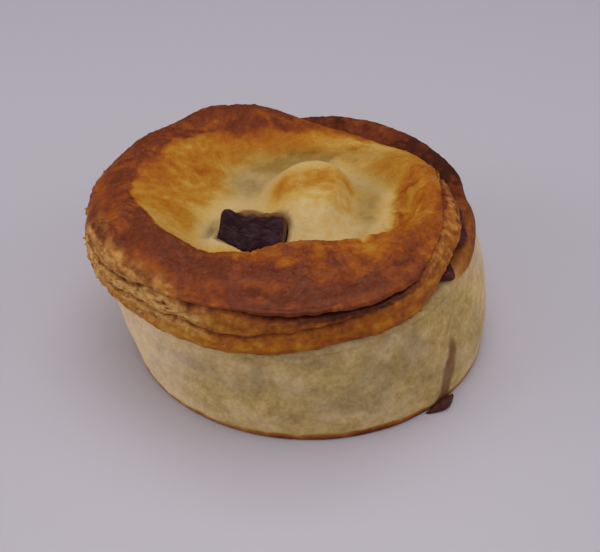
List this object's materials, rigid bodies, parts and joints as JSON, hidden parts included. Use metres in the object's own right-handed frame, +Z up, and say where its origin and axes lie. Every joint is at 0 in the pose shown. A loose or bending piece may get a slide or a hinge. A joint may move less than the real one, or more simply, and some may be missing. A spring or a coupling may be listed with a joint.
{
  "type": "steak and peppercorn pie",
  "caption": "Whole round savoury pie: a pale shortcrust case filled with gravy, under a browned layered puff lid that has slid to one side, with a chunk of steak showing in its vent.",
  "frame": {"origin": "centre of the round flat foot, on the surface the pie stands on", "axes": "+Z up, -Y towards the front of the pie, +X to its right as seen from the front"},
  "size_m": [0.11, 0.1063, 0.0457],
  "materials": {
    "shortcrust": "matt pale baked shortcrust",
    "gravy": "set dark gravy, slightly glossy",
    "puff_pastry": "egg-glazed browned puff pastry, satin",
    "steak": "moist dark braised beef",
    "baked_gravy": "burnt-on gravy, satin"
  },
  "bodies": {
    "root": {"shortcrust_case": "shortcrust", "gravy_filling": "gravy", "puff_lid": "puff_pastry", "steak_chunk": "steak", "gravy_drop": "baked_gravy"}
  },
  "joints": []
}
